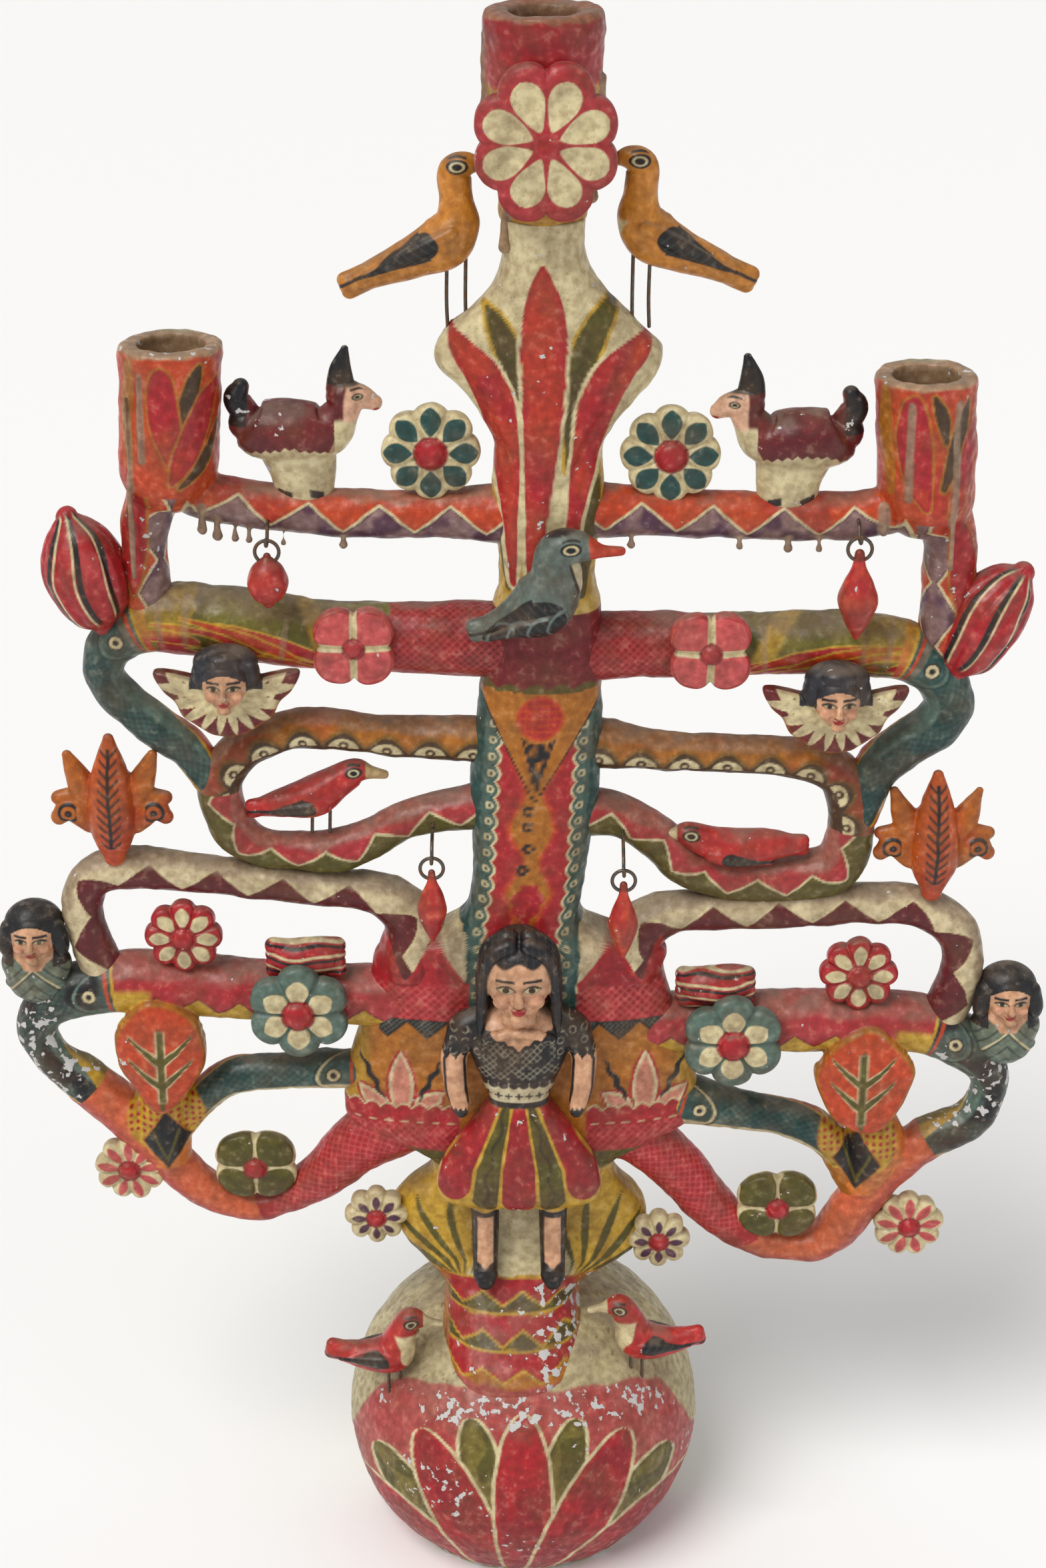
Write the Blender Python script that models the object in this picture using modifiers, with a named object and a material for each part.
"""A clay tree of life: a three-cup candelabrum of modelled, painted and wired clay pieces.

The scene is in metres. The design values below are in millimetres, and MM turns them into metres.
+Z is up, the painted front faces -Y, and +X is on the right of someone who faces the front. The
origin is at the middle of the foot, on the surface that the tree stands on.

The tree is drawn on a design grid that is GRID_WIDTH wide and GRID_HEIGHT tall. Every piece takes
its place from that grid through gx() and gz(), so the arms, the flowers on them and the hooks
under them move together when WIDTH or HEIGHT changes, while each piece keeps its own size.
"""

import math

import bmesh
import bpy
from mathutils import Matrix, Vector
from mathutils.bvhtree import BVHTree

MM = 0.001

# Driving sizes of the whole tree, in millimetres.
WIDTH = 392.0  # outside of the left head to outside of the right head
HEIGHT = 600.0  # foot rim to the mouth of the top cup
GRID_WIDTH = 392.0  # the width that the tables of places below are drawn for
GRID_HEIGHT = 600.0  # the height that they are drawn for

# The hollow ball that the tree stands on.
DOME_RADIUS = 69.0
DOME_HALF_HEIGHT = 61.0  # the ball is a little flattened
DOME_CENTRE_HEIGHT = 43.0
DOME_WALL = 7.0

# Candle cups.
CANDLE_BORE_RADIUS = 11.3
CANDLE_BORE_DEPTH = 34.0
TOP_CUP_RADIUS = 20.4
TOP_CUP_NECK_RADIUS = 14.5
TOP_CUP_BASE = 530.0  # grid height where the cup is luted to the crown
SIDE_CUP_RADIUS = 18.0
CUP_RIM_ROUND = 2.0

# Arms.
ARM_STOUTNESS = 1.0  # multiplies the thickness of every rolled arm
ARM_SIDES = 2  # bevel resolution of the coils: 8 sides

# Flowers and flat relief pieces.
FLOWER_THICKNESS = 8.0
RELIEF_BEVEL = 1.6

# Wire work.
WIRE_RADIUS = 0.65
RING_RADIUS = 4.2
LEG_SEAT = 4.0  # length of a bird's wire leg buried in the clay

GAP = 0.3  # left between two pieces that touch

SMOOTH_ANGLE = math.radians(50)


# ---------------------------------------------------------------- design grid and small helpers


def gx(x):
    return x * WIDTH / GRID_WIDTH


def gz(z):
    return z * HEIGHT / GRID_HEIGHT


def dome_height(x, y):
    """Height of the ball's surface above the floor over the point (x, y)."""
    inside = 1.0 - (x * x + y * y) / DOME_RADIUS**2
    return DOME_CENTRE_HEIGHT + DOME_HALF_HEIGHT * math.sqrt(max(inside, 0.0))


def smooth(route, steps=2):
    """Points of a Catmull-Rom curve through the route, whose points are (x, y, z, radius)."""
    ends = [route[0], *route, route[-1]]
    points = []
    for before, start, end, after in zip(ends, ends[1:], ends[2:], ends[3:]):
        for step in range(steps):
            t = step / steps
            points.append(
                tuple(
                    0.5 * (2 * b + (c - a) * t + (2 * a - 5 * b + 4 * c - d) * t * t + (3 * b - a - 3 * c + d) * t**3)
                    for a, b, c, d in zip(before, start, end, after)
                )
            )
    return [*points, route[-1]]


def arm_route(points, y=0.0):
    """An arm's route on the grid, from rows of (x, z, radius)."""
    return [(gx(x), y, gz(z), r * ARM_STOUTNESS) for x, z, r in points]


def placed(points, at):
    """A route around the origin moved to the place at."""
    return [(x + at[0], y + at[1], z + at[2], r) for x, y, z, r in points]


# ------------------------------------------------------------------------------- scene and paint


def clear_scene():
    for obj in list(bpy.data.objects):
        bpy.data.objects.remove(obj)


def new_collection(name):
    made = bpy.data.collections.new(name)
    bpy.context.scene.collection.children.link(made)
    return made


def paint(name, colour, roughness, metallic=0.0):
    made = bpy.data.materials.new(name)
    made.use_nodes = True
    shader = made.node_tree.nodes["Principled BSDF"]
    shader.inputs["Base Color"].default_value = (*colour, 1.0)
    shader.inputs["Roughness"].default_value = roughness
    shader.inputs["Metallic"].default_value = metallic
    return made


clear_scene()
TREE = new_collection("clay_tree_of_life")
HELPERS = new_collection("helpers")

PAINTS = {
    "cream": paint("cream_slip", (0.58, 0.51, 0.30), 0.5),
    "red": paint("red_paint", (0.50, 0.04, 0.04), 0.4),
    "orange": paint("orange_paint", (0.60, 0.13, 0.03), 0.4),
    "ochre": paint("ochre_paint", (0.52, 0.21, 0.03), 0.4),
    "olive": paint("olive_paint", (0.14, 0.12, 0.02), 0.45),
    "burgundy": paint("burgundy_paint", (0.11, 0.02, 0.02), 0.4),
    "pink": paint("pink_paint", (0.60, 0.12, 0.12), 0.45),
    "green": paint("green_paint", (0.04, 0.10, 0.09), 0.45),
    "blue": paint("blue_black_paint", (0.03, 0.04, 0.05), 0.4),
    "wire": paint("iron_wire", (0.10, 0.08, 0.06), 0.5, 0.9),
}


# ------------------------------------------------------------------------------------ primitives


def face_outwards(data):
    bmesh.ops.recalc_face_normals(data, faces=data.faces)
    if data.calc_volume(signed=True) < 0:
        bmesh.ops.reverse_faces(data, faces=data.faces)


def as_mesh(obj, name):
    """A mesh object in place of the curve or the modified object obj."""
    graph = bpy.context.evaluated_depsgraph_get()
    mesh = bpy.data.meshes.new_from_object(obj.evaluated_get(graph))
    data = bmesh.new()
    data.from_mesh(mesh)
    bmesh.ops.remove_doubles(data, verts=data.verts, dist=1e-6)
    face_outwards(data)
    data.to_mesh(mesh)
    data.free()
    made = bpy.data.objects.new(name, mesh)
    made.matrix_world = obj.matrix_world.copy()
    HELPERS.objects.link(made)
    bpy.data.objects.remove(obj)
    return made


def curve_object(name, points, dimensions, cyclic):
    curve = bpy.data.curves.new(name, "CURVE")
    curve.dimensions = dimensions
    spline = curve.splines.new("POLY")
    spline.points.add(len(points) - 1)
    for target, (x, y, z, radius) in zip(spline.points, points):
        target.co = (x * MM, y * MM, z * MM, 1.0)
        target.radius = radius
    spline.use_cyclic_u = cyclic
    made = bpy.data.objects.new(name, curve)
    HELPERS.objects.link(made)
    return made


def tube(route, sides=ARM_SIDES, steps=2):
    """A rolled coil or a wire along a smooth route of (x, y, z, radius)."""

    def build(name, extra=0.0):
        points = [(x, y, z, r + extra) for x, y, z, r in smooth(route, steps)]
        obj = curve_object(name, points, "3D", False)
        obj.data.bevel_depth = MM
        obj.data.bevel_resolution = sides
        obj.data.use_fill_caps = True
        bpy.context.view_layer.update()
        return as_mesh(obj, name)

    return build


def flat(outline, at, thickness=FLOWER_THICKNESS, tilt=0.0, round_off=RELIEF_BEVEL):
    """A flat piece with rounded edges that faces the front, from an outline of (x, z) around at."""

    def build(name, extra=0.0):
        reach = max(math.hypot(x, z) for x, z in outline)
        grow = 1.0 + (extra - round_off) / reach
        points = [(x * grow, z * grow, 0.0, 1.0) for x, z in outline]
        obj = curve_object(name, points, "2D", True)
        obj.data.fill_mode = "BOTH"
        obj.data.extrude = (thickness / 2 + extra - round_off) * MM
        obj.data.bevel_depth = round_off * MM
        obj.data.bevel_resolution = 0
        place = Vector((at[0] * MM, at[1] * MM, at[2] * MM))
        obj.matrix_world = (
            Matrix.Translation(place) @ Matrix.Rotation(tilt, 4, "Y") @ Matrix.Rotation(math.pi / 2, 4, "X")
        )
        bpy.context.view_layer.update()
        return as_mesh(obj, name)

    return build


def ball(at, radii, across=12, down=7):
    """An ellipsoid."""

    def build(name, extra=0.0):
        data = bmesh.new()
        bmesh.ops.create_uvsphere(data, u_segments=across, v_segments=down, radius=1.0)
        scale = Matrix.Diagonal([(r + extra) * MM for r in radii] + [1.0])
        bmesh.ops.transform(data, matrix=scale, verts=data.verts)
        mesh = bpy.data.meshes.new(name)
        data.to_mesh(mesh)
        data.free()
        made = bpy.data.objects.new(name, mesh)
        made.matrix_world = Matrix.Translation(Vector(at) * MM)
        HELPERS.objects.link(made)
        return made

    return build


def ring(at, radius, wire, across=12, around=5):
    """A closed wire ring that faces the front."""

    def build(name, extra=0.0):
        bpy.ops.mesh.primitive_torus_add(
            major_segments=across,
            minor_segments=around,
            major_radius=radius * MM,
            minor_radius=(wire + extra) * MM,
            location=[v * MM for v in at],
            rotation=(math.pi / 2, 0, 0),
        )
        made = bpy.context.object
        for owner in list(made.users_collection):
            owner.objects.unlink(made)
        made.name = name
        HELPERS.objects.link(made)
        bpy.context.view_layer.update()
        return made

    return build


def turned(profile, at=(0.0, 0.0), segments=32):
    """A turned piece about a vertical axis, from a profile of (radius, z) that runs down its outside."""

    def build(name, extra=0.0):
        mesh = bpy.data.meshes.new(name)
        points = profile(extra)
        mesh.from_pydata(
            [(r * MM, 0.0, z * MM) for r, z in points],
            [(i, i + 1) for i in range(len(points) - 1)],
            [],
        )
        made = bpy.data.objects.new(name, mesh)
        HELPERS.objects.link(made)
        made.matrix_world = Matrix.Translation((at[0] * MM, at[1] * MM, 0.0))
        screw = made.modifiers.new("turn", "SCREW")
        screw.steps = screw.render_steps = segments
        screw.use_merge_vertices = True
        screw.merge_threshold = 1e-5
        bpy.context.view_layer.update()
        return as_mesh(made, name)

    return build


LOFT_SIDES = 16
LOFT_SQUARENESS = 2.6  # exponent of each section's superellipse
CORNER_ALLOWANCE = 1.3  # a corner moves further than the flats beside it when a form grows


def loft(rings):
    """A closed form through level sections of (z, left, right, front, back)."""

    def build(name, extra=0.0):
        data = bmesh.new()
        rows = []
        for z, left, right, front, back in rings:
            row = []
            for side in range(LOFT_SIDES):
                angle = 2 * math.pi * side / LOFT_SIDES
                c, s = math.cos(angle), math.sin(angle)
                across = math.copysign(abs(c) ** (2 / LOFT_SQUARENESS), c)
                along = math.copysign(abs(s) ** (2 / LOFT_SQUARENESS), s)
                x = (left + right) / 2 + (right - left) / 2 * across
                y = (front + back) / 2 + (back - front) / 2 * along
                row.append(data.verts.new((x * MM, y * MM, z * MM)))
            rows.append(row)
        for low, high in zip(rows, rows[1:]):
            for side in range(LOFT_SIDES):
                after = (side + 1) % LOFT_SIDES
                # Split by hand, so that a form and its grown cutter bend along the same lines.
                data.faces.new((low[side], low[after], high[after]))
                data.faces.new((low[side], high[after], high[side]))
        data.faces.new(rows[0])
        data.faces.new(rows[-1])
        face_outwards(data)
        data.normal_update()
        for vert in data.verts:
            vert.co += vert.normal * extra * CORNER_ALLOWANCE * MM
        mesh = bpy.data.meshes.new(name)
        data.to_mesh(mesh)
        data.free()
        made = bpy.data.objects.new(name, mesh)
        HELPERS.objects.link(made)
        return made

    return build


# ---------------------------------------------------------------------------- pieces and fitting


def surface_tree(obj):
    """The surface of a shape in world space, to find what it crosses."""
    points = [obj.matrix_world @ vert.co for vert in obj.data.vertices]
    return BVHTree.FromPolygons(points, [tuple(face.vertices) for face in obj.data.polygons])


def hide(obj):
    obj.hide_render = True
    obj.display_type = "WIRE"


def boolean(obj, other, operation):
    modifier = obj.modifiers.new(operation.lower(), "BOOLEAN")
    modifier.operation = operation
    modifier.object = other
    modifier.solver = "EXACT"


class Piece:
    """One solid: shapes joined together, cut back from the earlier pieces that it meets."""

    made = []

    def __init__(self, name, colour, shapes, carve=(), clear_of=None):
        self.name = name
        self.shapes = shapes
        self.cutters = {}
        bodies = [shape(f"{name}_shape") for shape in shapes]
        self.solid = bodies[0]
        for extra_body in bodies[1:]:
            hide(extra_body)
            boolean(self.solid, extra_body, "UNION")
        self.surfaces = [surface_tree(body) for body in bodies]
        for shape in carve:
            tool = shape(f"{name}_cutter")
            hide(tool)
            boolean(self.solid, tool, "DIFFERENCE")
        for earlier in Piece.made if clear_of is None else clear_of:
            self.fit_round(earlier)
        self.finish(colour)
        Piece.made.append(self)

    def fit_round(self, other):
        """Cuts this piece back from each of the other's shapes that it meets, less GAP."""
        for number, shape in enumerate(other.shapes):
            if number not in other.cutters:
                tool = shape(f"{other.name}_cutter", GAP)
                hide(tool)
                other.cutters[number] = (tool, surface_tree(tool))
            tool, surface = other.cutters[number]
            if any(surface.overlap(mine) for mine in self.surfaces):
                boolean(self.solid, tool, "DIFFERENCE")

    def finish(self, colour):
        HELPERS.objects.unlink(self.solid)
        TREE.objects.link(self.solid)
        self.solid.name = self.name
        self.solid.data.materials.clear()
        self.solid.data.materials.append(PAINTS[colour])
        self.solid.data.shade_smooth()
        self.solid.data.set_sharp_from_angle(angle=SMOOTH_ANGLE)


def petalled(petals, radius, notch, points_per_petal=4, squash=1.0):
    """The scalloped outline of a flower, notched between its petals."""
    count = petals * points_per_petal
    outline = []
    for i in range(count):
        angle = 2 * math.pi * i / count
        reach = radius * (1 - notch + notch * abs(math.cos(petals * angle / 2)))
        outline.append((reach * math.sin(angle), reach * squash * math.cos(angle)))
    return outline


# ---------------------------------------------------------------------------------------- wires

# Each pendant's hook on the grid: x, the buried end (y, z), the seat (y, z) that the ring hangs on.
PENDANTS = {
    "left_upper": {"x": -89.0, "root": (-3.0, 425.0), "seat": (-16.5, 417.5), "drop": 17.0, "radius": 7.2},
    "right_upper": {"x": 117.0, "root": (-3.0, 424.0), "seat": (-16.5, 418.5), "drop": 31.0, "radius": 7.2},
    "left_lower": {"x": -33.0, "root": (-3.0, 306.0), "seat": (-22.5, 297.0), "drop": 27.0, "radius": 5.4},
    "right_lower": {"x": 36.5, "root": (-3.0, 305.0), "seat": (-22.5, 292.0), "drop": 29.0, "radius": 5.4},
}
# The open end of a hook behind, through and in front of its seat: (y, z) from the seat.
HOOK_CURL = [(5.5, 4.6), (2.4, 0.9), (1.0, 0.0), (-1.0, 0.0), (-2.8, 1.0), (-3.6, 3.2)]


def pivot_of(spot):
    """The middle of the hook's wire where the ring hangs: the axis that the pendant swings about."""
    y, z = spot["seat"]
    return gx(spot["x"]), y, gz(z)


def hook_route(spot):
    x, y, z = pivot_of(spot)
    root_y, root_z = spot["root"]
    curl = [(x, y + dy, z + dz, WIRE_RADIUS) for dy, dz in HOOK_CURL]
    return [(x, root_y, gz(root_z), WIRE_RADIUS), *curl]


def ring_centre(spot):
    x, y, z = pivot_of(spot)
    return x, y, z + 2 * WIRE_RADIUS + GAP - RING_RADIUS


for spot_name, spot in PENDANTS.items():
    Piece(f"{spot_name}_hook", "wire", [tube(hook_route(spot), sides=1, steps=1)])
for spot_name, spot in PENDANTS.items():
    Piece(f"{spot_name}_ring", "wire", [ring(ring_centre(spot), RING_RADIUS, WIRE_RADIUS)], clear_of=())

# The upper birds stand on the crown's shoulders and the lower ones on the ball, on bent wire legs.
TOP_BIRD_LEGS = {"left": (-25.8, -19.4, 493.5, 517.0), "right": (37.4, 43.2, 493.5, 519.0)}
BASE_BIRD_LEGS = {"left": (-52.0, -47.6), "right": (41.6, 46.0)}
BASE_BIRD_DEPTH = -32.0
BASE_BIRD_LEG = 11.0


def leg_route(left, right, y, low, high):
    corner = 1.2
    outer = [(left, y, low, WIRE_RADIUS), (left, y, high - corner, WIRE_RADIUS), (left + corner, y, high, WIRE_RADIUS)]
    inner = [(right - corner, y, high, WIRE_RADIUS), (right, y, high - corner, WIRE_RADIUS)]
    return [*outer, *inner, (right, y, low, WIRE_RADIUS)]


def base_bird_floor(side):
    left, right = (gx(x) for x in BASE_BIRD_LEGS[side])
    return dome_height((left + right) / 2, BASE_BIRD_DEPTH)


for side, (left, right, low, high) in TOP_BIRD_LEGS.items():
    left, right = gx(left), gx(left) + right - left
    legs = leg_route(left, right, 0.0, gz(low) - LEG_SEAT, gz(high))
    Piece(f"{side}_top_bird_legs", "wire", [tube(legs, sides=1, steps=1)])
for side, (left, right) in BASE_BIRD_LEGS.items():
    floor = base_bird_floor(side)
    left, right = gx(left), gx(left) + right - left
    legs = leg_route(left, right, BASE_BIRD_DEPTH, floor - LEG_SEAT, floor + BASE_BIRD_LEG + 5.0)
    Piece(f"{side}_base_bird_legs", "wire", [tube(legs, sides=1, steps=1)])


# ------------------------------------------------------------------------------- base and trunk

DOME_ROWS = 9
FOOT_ANGLE = math.asin(DOME_CENTRE_HEIGHT / DOME_HALF_HEIGHT)


def dome_arc(radius, half_height, to_height):
    """A quarter and more of the ball's outline, from its top down to to_height."""
    lowest = math.asin((to_height - DOME_CENTRE_HEIGHT) / half_height)
    points = []
    for row in range(DOME_ROWS + 1):
        angle = math.pi / 2 + (lowest - math.pi / 2) * row / DOME_ROWS
        reach = 0.0 if row == 0 else radius * math.cos(angle)
        points.append((reach, DOME_CENTRE_HEIGHT + half_height * math.sin(angle)))
    return points


def dome_profile(extra):
    outside = dome_arc(DOME_RADIUS + extra, DOME_HALF_HEIGHT + extra, 0.0)
    if extra:
        return [*outside, (0.0, 0.0)]
    inside = dome_arc(DOME_RADIUS - DOME_WALL, DOME_HALF_HEIGHT - DOME_WALL, 0.0)
    return outside + inside[::-1]


Piece("base_dome", "cream", [turned(dome_profile, segments=28)])

# Sections of the trunk on the grid: height, left, right, front, back.
TRUNK = [
    (86, -34, 27, -42, 27),
    (96, -31, 23, -35, 24),
    (107, -30, 21, -27, 20),
    (113, -33, 26, -24, 18),
    (122, -44, 45, -20, 16),
    (134, -51, 48, -17, 15),
    (143, -48, 44, -17, 15),
    (152, -37, 36, -18, 16),
    (160, -36, 36, -18, 16),
    (167, -46, 46, -18, 16),
    (176, -65, 63, -17, 15),
    (188, -68, 66, -16, 14),
    (202, -66, 65, -15, 14),
    (217, -62, 61, -15, 14),
    (240, -57, 53, -15, 14),
    (252, -52, 52, -15, 14),
    (262, -26, 24, -16, 15),
    (282, -18.5, 23, -16, 15),
    (323, -19, 28, -16, 15),
    (384, -12, 28, -17, 15),
    (398, -8.5, 26, -17, 15),
    (414, -9, 26, -16, 15),
    (434, -11, 28.5, -15, 14),
    (450, -10, 28, -15, 14),
    (461, -15, 34, -15, 13),
    (470, -21, 42, -14, 13),
    (478, -29, 47, -14, 12),
    (485, -30, 48, -14, 12),
    (492, -26, 41, -14, 12),
    (501, -15, 32, -15, 13),
    (510, -9, 24, -15, 14),
    (519, -7, 21, -14, 14),
]
TRUNK_AXIS = 6.8  # grid x of the neck and the top cup
WHITE_FLOWERS = {"left": (-56.5, -10.0, 138.0), "right": (52.5, -10.0, 127.0)}
WHITE_FLOWER_RADIUS = 12.2


def trunk_rings():
    root = (DOME_CENTRE_HEIGHT + 0.35 * DOME_HALF_HEIGHT, -0.4 * DOME_RADIUS, 0.34 * DOME_RADIUS)
    rings = [(*root, -0.52 * DOME_RADIUS, 0.35 * DOME_RADIUS)]
    rings += [(gz(z), gx(left), gx(right), front, back) for z, left, right, front, back in TRUNK]
    neck = TOP_CUP_NECK_RADIUS
    rings.append((gz(TOP_CUP_BASE), gx(TRUNK_AXIS) - neck, gx(TRUNK_AXIS) + neck, -neck, neck))
    return rings


trunk_shapes = [loft(trunk_rings())]
for x, y, z in WHITE_FLOWERS.values():
    trunk_shapes.append(flat(petalled(8, WHITE_FLOWER_RADIUS, 0.28), (gx(x), y, gz(z)), round_off=0.0))
Piece("trunk", "cream", trunk_shapes)


def top_cup_profile(extra):
    base, mouth = gz(TOP_CUP_BASE) + GAP, gz(GRID_HEIGHT)
    rise = mouth - base
    outer = [(TOP_CUP_RADIUS - CUP_RIM_ROUND, mouth), (TOP_CUP_RADIUS, mouth - CUP_RIM_ROUND)]
    outer += [(TOP_CUP_RADIUS - 0.6, mouth - 0.2 * rise), (TOP_CUP_RADIUS - 1.4, mouth - 0.5 * rise)]
    outer += [(TOP_CUP_NECK_RADIUS + 3.0, mouth - 0.7 * rise), (TOP_CUP_NECK_RADIUS, base), (0.0, base)]
    if extra:
        return [(0.0, mouth + extra)] + [(r + extra if r else 0.0, z) for r, z in outer]
    floor = mouth - CANDLE_BORE_DEPTH
    return [(0.0, floor), (CANDLE_BORE_RADIUS, floor), (CANDLE_BORE_RADIUS, mouth), *outer]


Piece("top_cup", "ochre", [turned(top_cup_profile, (gx(TRUNK_AXIS), 0.0), segments=24)])


# ------------------------------------------------------------------------------------------ arms

# Routes on the grid, as rows of (x, z, radius) from the trunk outwards and round.
THIRD_ARM = {
    "left": [
        (-10, 335, 8.9), (-30, 336, 8.2), (-50, 337, 7.5), (-76, 340, 7.5), (-91, 337, 7.5), (-103, 331, 7.8),
        (-110, 322, 8.3), (-111, 313, 8.2), (-107, 300, 8), (-98, 292, 7.6), (-83, 290, 7.5), (-70, 290, 8.3),
        (-58, 294, 7.8), (-44, 302, 7.1), (-31, 306, 7.6), (-14, 309, 9.3),
    ],
    "right": [
        (20, 335, 10), (35, 333, 8.7), (50, 331, 7.4), (70, 330, 7), (92, 329, 7.1), (105, 327, 7.8),
        (115, 322, 8.4), (120, 312, 9), (121, 300, 8.6), (116, 284, 9.3), (98, 279, 8.9), (80, 279, 8.7),
        (63, 283, 8.4), (51, 294, 8.3), (36, 304, 8.1), (18, 307, 10),
    ],
}
LOWER_BRANCH = {
    "left": [
        (-44, 229, 11.6), (-81, 230, 11.6), (-116, 233, 11.6), (-147, 235, 12), (-162, 233, 11.1),
        (-174, 229, 10), (-182, 222, 8.5), (-184, 213, 7.4), (-179, 202, 7.4), (-168, 192, 8.7),
        (-152, 176, 9.2), (-137, 157, 8.3), (-126, 145, 7.7), (-112, 136, 6.2), (-100, 135, 6),
        (-90, 140, 6.9), (-76, 151, 9.7), (-59, 167, 12.3), (-40, 176, 12.9),
    ],
    "right": [
        (40, 217, 11.6), (75, 218, 11.8), (110, 218, 11.9), (137, 218, 11.6), (156, 215, 11.1),
        (169, 207, 10), (177, 197, 8), (178, 186, 6.9), (172, 174, 7.7), (155, 165, 8.5), (141, 152, 8.4),
        (130, 136, 8.8), (121, 122, 8.2), (112, 117, 6.8), (101, 116.5, 6.1), (92, 119, 6.9),
        (76, 132, 8.9), (60, 152, 10.4), (44, 167, 10.8), (28, 170, 11.4),
    ],
}
FISH_ARM = {
    "left": [(-48, 198, 9), (-64, 197, 7.6), (-90, 196, 7.2), (-111, 193, 7.3), (-124, 183, 6.6), (-134, 168, 6)],
    "right": [(44, 189, 11), (61, 184, 10), (78, 179.5, 8), (97, 176, 7.5), (111, 171, 7.8), (121, 161, 7), (128, 147, 6.2)],
}
WEB = {
    "left": [(-137, 190, 8), (-138, 174, 11), (-137, 160, 9)],
    "right": [(133, 180, 8), (136, 163, 12), (132, 148, 9)],
}
ZIGZAG_LOOP = {
    "left": [
        (-41, 246, 14), (-41, 258, 11.5), (-46, 267, 9.6), (-58, 273, 7.8), (-80, 275.5, 7.2), (-106, 279, 7.4),
        (-132, 282, 7.9), (-150, 283, 7.9), (-160, 278, 7.7), (-164, 268, 7.7), (-163, 256, 7.6),
        (-158, 240, 8.5), (-155, 232, 8.5),
    ],
    "right": [
        (40, 244, 13), (42, 254, 11), (48, 261, 9.5), (58, 264.5, 8), (78, 265.5, 7.7), (106, 267, 7.7),
        (133, 268, 7.7), (150, 266, 7.8), (161, 258, 7.9), (165, 247, 7.6), (164, 234, 8.2), (158, 218, 8.6),
    ],
}
SECOND_ARM = {
    "left": [
        (-6, 375, 14), (-45, 376, 12.8), (-73, 377, 12.4), (-101, 381, 13), (-124, 383, 12.8), (-138, 380.5, 10.8),
        (-148, 372, 8.4), (-151, 362, 7.6), (-145, 352, 7.4), (-133, 341, 7.6), (-121, 331, 7.4), (-113, 319, 7.2),
    ],
    "right": [
        (22, 372, 12.8), (47, 373, 11.8), (72, 373, 11.7), (98, 374, 11.5), (124, 373, 11.9), (138, 370, 10.9),
        (149, 362, 9.5), (154, 351, 9.2), (150, 341, 9), (139, 333, 8.7), (129, 324, 8.4), (123, 306, 8.3),
    ],
}
CANDLE_ARM = {
    "left": [(-4, 423, 11), (-37, 423, 8.6), (-72, 424, 8.8), (-108, 429, 8.5), (-123, 437, 9)],
    "right": [(20, 425, 10.8), (45, 424, 8.8), (90, 422, 8.5), (122, 423, 8.6), (141, 431, 9)],
}
COLUMN = {
    "left": [(-125, 440, 11), (-132, 424, 9), (-133.5, 408, 8), (-133.5, 388, 8.8)],
    "right": [(144, 432, 12), (150, 416, 9.8), (151.5, 400, 9.6), (151.5, 378, 10)],
}
SIDE_CUP = {"left": ((-124, 432), (-121, 486)), "right": ((142, 422), (139, 475))}
LEAF = {
    "left": ((-136, -11, 207), [(-5, 26), (-17, 12), (-14, -6), (-1, -22), (13, -8), (17, 7), (11, 21)]),
    "right": ((128, -11, 197), [(5, 24), (19, 9), (17, -5), (6, -21), (-10, -15), (-18, 6), (-8, 20)]),
}
LEAF_THICKNESS = 10.0


def cup_route(side):
    (low_x, low_z), (top_x, top_z) = SIDE_CUP[side]
    low_x, low_z, top_x, top_z = gx(low_x), gz(low_z), gx(top_x), gz(top_z)
    waist = SIDE_CUP_RADIUS - 0.8
    return [
        (low_x, 0, low_z - 6, SIDE_CUP_RADIUS - 7),
        (low_x, 0, low_z, SIDE_CUP_RADIUS - 2),
        (low_x + (top_x - low_x) * 0.3, 0, low_z + (top_z - low_z) * 0.3, waist),
        (low_x + (top_x - low_x) * 0.7, 0, low_z + (top_z - low_z) * 0.7, waist),
        (top_x, 0, top_z - CUP_RIM_ROUND, SIDE_CUP_RADIUS),
        (top_x, 0, top_z, SIDE_CUP_RADIUS - CUP_RIM_ROUND),
    ]


def side_bore(side):
    (low_x, low_z), (top_x, top_z) = SIDE_CUP[side]
    lean = (gx(top_x) - gx(low_x)) / (gz(top_z) - gz(low_z))
    top_x, top_z = gx(top_x), gz(top_z)
    depth = CANDLE_BORE_DEPTH
    floor = (top_x - depth * lean, 0, top_z - depth, CANDLE_BORE_RADIUS)
    proud = 5.0
    return tube([floor, (top_x + proud * lean, 0, top_z + proud, CANDLE_BORE_RADIUS)], sides=4, steps=1)


for side in ("left", "right"):
    Piece(f"{side}_third_arm", "ochre", [tube(arm_route(THIRD_ARM[side]), steps=1)])
for side in ("left", "right"):
    (leaf_x, leaf_y, leaf_z), leaf_outline = LEAF[side]
    branch = [
        tube(arm_route(LOWER_BRANCH[side]), steps=1),
        tube(arm_route(FISH_ARM[side])),
        tube(arm_route(WEB[side], y=-1.0), steps=1),
        flat(leaf_outline, (gx(leaf_x), leaf_y, gz(leaf_z)), LEAF_THICKNESS),
    ]
    Piece(f"{side}_lower_branch", "orange", branch)
for side in ("left", "right"):
    Piece(f"{side}_zigzag_loop", "burgundy", [tube(arm_route(ZIGZAG_LOOP[side]), steps=1)])
for side in ("left", "right"):
    Piece(f"{side}_second_arm", "olive", [tube(arm_route(SECOND_ARM[side]), steps=1)])
for side in ("left", "right"):
    parts = [
        tube(cup_route(side), sides=4, steps=1),
        tube(arm_route(CANDLE_ARM[side])),
        tube(arm_route(COLUMN[side])),
    ]
    Piece(f"{side}_candle_arm", "orange", parts, carve=[side_bore(side)])


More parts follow.
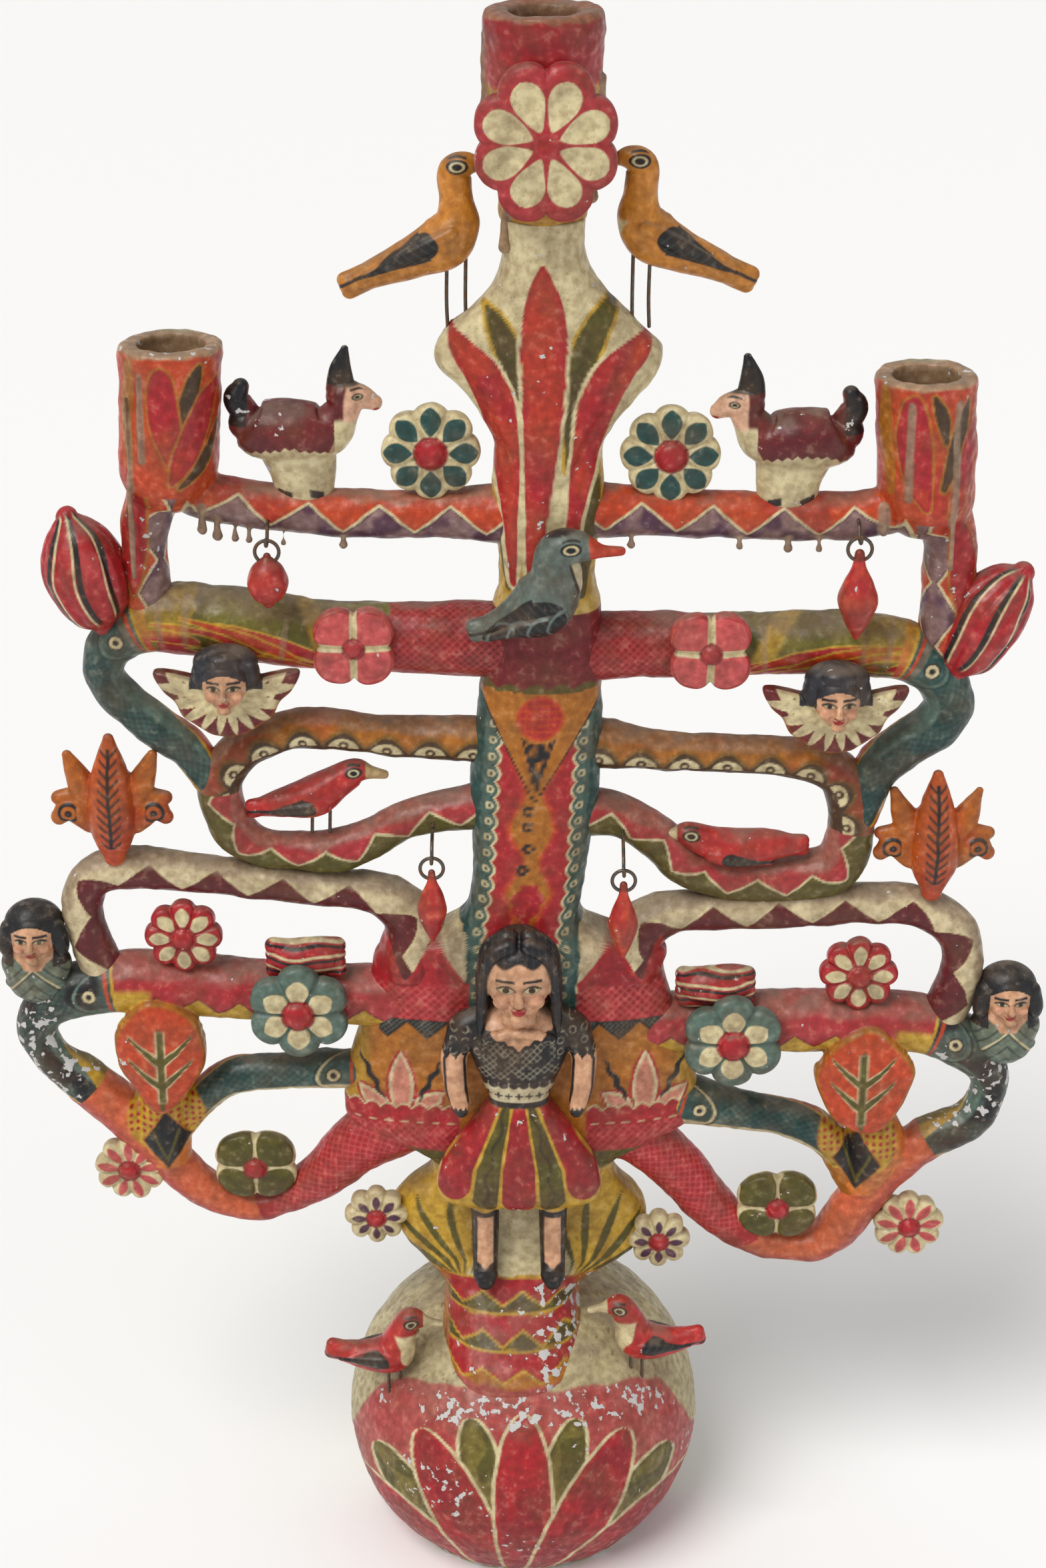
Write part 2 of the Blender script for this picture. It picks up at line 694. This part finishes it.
# --------------------------------------------------------------------- flowers, buds and leaves


def button(at, radius, depth):
    """The raised centre of a flower."""
    x, y, z = at
    return ball((x, y - depth, z), (radius, radius * 0.6, radius), 8, 5)


def flower(name, colour, at, petals, radius, notch, centre, squash=1.0, thickness=FLOWER_THICKNESS, more=()):
    x, y, z = at
    at = (gx(x), y, gz(z))
    shapes = [flat(petalled(petals, radius, notch, squash=squash), at, thickness, round_off=0.0)]
    if centre:
        shapes.append(button(at, centre, thickness / 2))
    Piece(name, colour, [*shapes, *more])


flower("top_flower", "cream", (7.6, -22, 560.5), 8, 24.5, 0.16, 0, 1.13, 12)
for side, x, z, radius in (("left", -32.0, 447.5, 17.4), ("right", 51.4, 446.5, 17.6)):
    flower(f"{side}_green_daisy", "green", (x, -3, z), 8, radius, 0.14, 5)
for side, x, z in (("left", -59.7, 378.5), ("right", 66.3, 376.5)):
    flower(f"{side}_four_petal_flower", "pink", (x, -14, z), 4, 16.5, 0.32, 3.4)
for side, x, z, radius in (("left", -126.0, 258.0, 14.6), ("right", 125.5, 242.0, 14.8)):
    flower(f"{side}_red_daisy", "red", (x, -6, z), 8, radius, 0.18, 4)
for side, x, z, pillow_x, pillow_z in (("left", -83.5, 231, -81, 249), ("right", 78.5, 218, 72, 237)):
    cushion = ball((gx(pillow_x), -7, gz(pillow_z)), (15, 7.5, 8.4))
    flower(f"{side}_six_petal_flower", "green", (x, -15, z), 6, 19.4, 0.2, 5.2, 0.96, 9, [cushion])
for side, x, z in (("left", -103, 156.5), ("right", 98.5, 138)):
    flower(f"{side}_olive_flower", "olive", (x, -4, z), 4, 17.4, 0.2, 3.6, 0.88)
for side, x, z in (("left", -151.5, 155.5), ("right", 150.0, 129.5)):
    flower(f"{side}_pink_daisy", "pink", (x, -4, z), 9, 13.8, 0.18, 3.4)

BUDS = {
    "left": [(-148, 382, 5), (-150.5, 389, 12.5), (-155, 403, 15.3), (-158, 415, 12), (-160, 423, 3.5)],
    "right": [(154, 364, 5), (158, 372, 12), (165, 386, 14.2), (173, 397, 10.5), (177, 402, 3.5)],
}
for side, route in BUDS.items():
    Piece(f"{side}_striped_bud", "red", [tube([(gx(x), -3, gz(z), r) for x, z, r in route], sides=2)])

TULIP_OUTLINE = [
    (0, -24), (9, -19), (12, -12), (19, -9), (22, -3), (20, 3), (15, 1), (14, 7), (17, 13), (16, 20), (8, 14),
    (4, 24), (0, 27), (-4, 24), (-8, 14), (-16, 20), (-17, 13), (-14, 7), (-15, 1), (-20, 3), (-22, -3),
    (-19, -9), (-12, -12), (-9, -19),
]
TULIPS = {"left": (-150, -4, 312, 1), "right": (151, -4, 297.5, 1)}
TULIP_THICKNESS = 11.0
for side, (x, y, z, _) in TULIPS.items():
    shape = flat(TULIP_OUTLINE, (gx(x), y, gz(z)), TULIP_THICKNESS)
    keel = tube([(gx(x), y - 3, gz(z) + dz, r) for dz, r in ((-18, 5), (-4, 7.5), (10, 6.5), (23, 3))])
    Piece(f"{side}_tulip", "orange", [shape, keel])


# --------------------------------------------------------------------------------------- birds


def bird(name, colour, at, route, mirror=1, more=()):
    """A bird as one rolled form from beak to tail, from rows of (x, z, radius) around its middle."""
    x, y, z = at
    body = tube([(x + mirror * dx, y, z + dz, r) for dx, dz, r in route], steps=1)
    Piece(name, colour, [body, *more])


TOP_BIRD = [
    (23, 24, 1.3), (18, 26, 1.8), (13, 26, 4.5), (9, 23, 6), (9.5, 14, 6), (9.5, 6, 8.2), (5, -1, 9.6),
    (-5, -6, 7.5), (-17, -11, 5.4), (-28, -16, 3.6),
]
TOP_BIRDS = {"left": (-32.0, 0, 522.0, 1), "right": (49.0, 0, 524.0, -1)}
for side, (x, y, z, mirror) in TOP_BIRDS.items():
    bird(f"{side}_top_bird", "ochre", (gx(x), y, gz(z)), TOP_BIRD, mirror)

MID_BIRD = [(25, 8, 1.2), (19, 8.5, 2), (14, 8.5, 4.6), (7, 5, 6), (-2, -1, 7.6), (-13, -3, 5.6), (-25, -5, 2.6)]
LEFT_MID_BIRD = (-74.5, -2, 314.5)
LEFT_MID_BIRD_LEGS = (-3.0, 3.5)  # x of each leg from the bird's middle
LEG_STUB_RADIUS = 1.0
legs = []
for dx in LEFT_MID_BIRD_LEGS:
    x = gx(LEFT_MID_BIRD[0]) + dx
    legs.append(tube([(x, -2, gz(290), LEG_STUB_RADIUS), (x, -2, gz(LEFT_MID_BIRD[2]), LEG_STUB_RADIUS)], 1, 1))
left_mid = (gx(LEFT_MID_BIRD[0]), LEFT_MID_BIRD[1], gz(LEFT_MID_BIRD[2]))
bird("left_mid_bird", "red", left_mid, MID_BIRD, more=legs)
RIGHT_MID_BIRD = [(28, 4, 1.2), (22, 4.5, 2), (17, 4.5, 4.8), (8, 1, 6.2), (-2, -1, 7), (-13, 0, 6), (-26, 0, 3.2)]
bird("right_mid_bird", "red", (gx(77), -4, gz(294.5)), RIGHT_MID_BIRD, -1)

BASE_BIRD = [(19, 12, 1.2), (13, 13.5, 1.9), (7, 14, 5.2), (3, 8, 5.8), (0, 0, 8), (-9, -2, 6.2), (-24, 1, 3)]
BASE_BIRDS = {"left": 1, "right": -1}
for side, mirror in BASE_BIRDS.items():
    left, right = BASE_BIRD_LEGS[side]
    at = (gx(left) + (right - left) / 2, BASE_BIRD_DEPTH, base_bird_floor(side) + BASE_BIRD_LEG + 5.5)
    bird(f"{side}_base_bird", "red", at, BASE_BIRD, mirror)

GREY_BIRD = [
    (28, 15, 1.4), (20, 15, 2.2), (12, 16.5, 6), (5, 15, 7.5), (4, 4, 9.8), (-1, -5, 11.5), (-12, -11, 7), (-24, -15, 3),
]
bird("grey_bird", "blue", (gx(7), -21, gz(402)), GREY_BIRD)


# ------------------------------------------------------------------------------------- animals


def animal(side, at, mirror):
    x, y, z = at

    def part(rows):
        return tube([(x + mirror * dx, y + dy, z + dz, r) for dx, dy, dz, r in rows], steps=1)

    body = part([(-20, 0, 4, 6), (-15, 0, 2, 10.5), (-2, 0, 1, 11.5), (9, 0, 2, 9.5), (14, 0, 8, 6.5), (17, 0, 14, 6)])
    head = part([(15, 0, 14, 6.2), (21, 0, 13.5, 4.6), (26, 0, 11.5, 2.6)])
    horn = part([(14, 0, 18, 3.6), (14.5, 0, 24, 3.2), (16, 0, 32, 1.4)])
    tail = part([(-18, 0, 6, 5), (-22, 0, 13, 4.8), (-20, 0, 18, 2.6)])
    legs = part([(-4, 0, -5, 8.5), (-1, 0, -14, 7.4), (0, 0, -22, 7)])
    Piece(f"{side}_animal", "burgundy", [body, head, horn, tail, legs])


ANIMALS = {"left": (-77.0, 0, 452.5, 1), "right": (93.0, 0, 449.5, -1)}
for side, (x, y, z, mirror) in ANIMALS.items():
    animal(side, (gx(x), y, gz(z)), mirror)


# ------------------------------------------------------------------------------- human figures

WING_OUTLINE = [
    (0, -18), (6, -17), (12, -13), (16, -10), (19, -4), (23, 0), (26, 7), (20, 7), (13, 5), (8, 9), (0, 8),
    (-8, 9), (-13, 5), (-20, 7), (-26, 7), (-23, 0), (-19, -4), (-16, -10), (-12, -13), (-6, -17),
]
CHERUBS = {"left": (-105.0, -15, 362.0), "right": (111.0, -15, 355.5)}
WING_THICKNESS = 8.0
for side, (x, y, z) in CHERUBS.items():
    x, z = gx(x), gz(z)
    face = ball((x, y - 5, z + 5), (9, 8.5, 10.5))
    hair = ball((x, y - 2, z + 10), (12.5, 7.5, 8))
    Piece(f"{side}_winged_head", "burgundy", [flat(WING_OUTLINE, (x, y, z), WING_THICKNESS), face, hair])

BUSTS = {"left": (-182.0, -4, 252.5), "right": (182.0, -4, 226.0)}
for side, (x, y, z) in BUSTS.items():
    x, z = gx(x), gz(z)
    shawl = loft(
        [
            (z - 17.5, x - 12, x + 12, y - 8, y + 8),
            (z - 8, x - 13.5, x + 13.5, y - 9, y + 9),
            (z - 1, x - 11, x + 11, y - 8, y + 8),
            (z + 3, x - 6, x + 6, y - 6, y + 6),
        ]
    )
    head = ball((x, y - 1, z + 7), (11.5, 10.5, 11.5))
    Piece(f"{side}_bust", "green", [shawl, head])

LADY_X = -1.5
LADY_Z = 197.0  # grid height of her waist
# Sections of her dress from hem to neck: height above the waist, half width, front, back.
DRESS = [
    (-38, 29, -31, -12), (-33, 32, -34, -12), (-22, 28.5, -34, -12), (-8, 17.5, -31, -12), (0, 11.5, -28, -12),
    (8, 13.5, -29, -12), (20, 18, -31, -12), (31, 21.5, -29, -12), (36, 17, -26, -12), (41, 7, -25, -12),
]


def lady():
    x, z = gx(LADY_X), gz(LADY_Z)
    shapes = [loft([(z + dz, x - half, x + half, front, back) for dz, half, front, back in DRESS])]
    shapes.append(ball((x, -19, z + 53), (15.5, 11.5, 23.5)))
    shapes.append(ball((x, -24.5, z + 53), (10.5, 8.5, 15)))
    for side in (-1, 1):
        arm = [(side * 20, -21, 31, 6), (side * 24, -23, 20, 5.4), (side * 23.5, -25, 8, 4.6), (side * 22, -28, 1, 4)]
        shapes.append(tube(placed(arm, (x, 0, z)), steps=1))
        leg = [(side * 12.8, -23, -34, 6), (side * 12.8, -23.5, -55, 5.4), (side * 12.8, -24, -70, 5), (side * 12.8, -28, -75, 5)]
        shapes.append(tube(placed(leg, (x, 0, z)), steps=1))
    Piece("lady", "blue", shapes)


lady()


# ------------------------------------------------------------------------------------ pendants


def pendant_route(spot):
    """A clay drop around the lower half of its ring, from its tip up: it hangs straight down."""
    x, y, z = ring_centre(spot)
    top = z - 0.4 * RING_RADIUS
    length, radius = gz(spot["drop"]), spot["radius"]
    if length < 2.5 * radius:
        shares = ((0, 0.35), (0.12, 0.75), (0.42, 1.0), (0.72, 0.8), (0.9, 0.4), (1, 0.22))
    else:
        shares = ((0, 0.2), (0.18, 0.62), (0.42, 1.0), (0.62, 0.8), (0.85, 0.36), (1, 0.26))
    return [(x, y, top - length + length * share, radius * wide) for share, wide in shares]


for spot_name, spot in PENDANTS.items():
    own_ring = [piece for piece in Piece.made if piece.name == f"{spot_name}_ring"]
    Piece(f"{spot_name}_pendant", "red", [tube(pendant_route(spot), steps=1)], clear_of=own_ring)

for helper in HELPERS.objects:
    hide(helper)
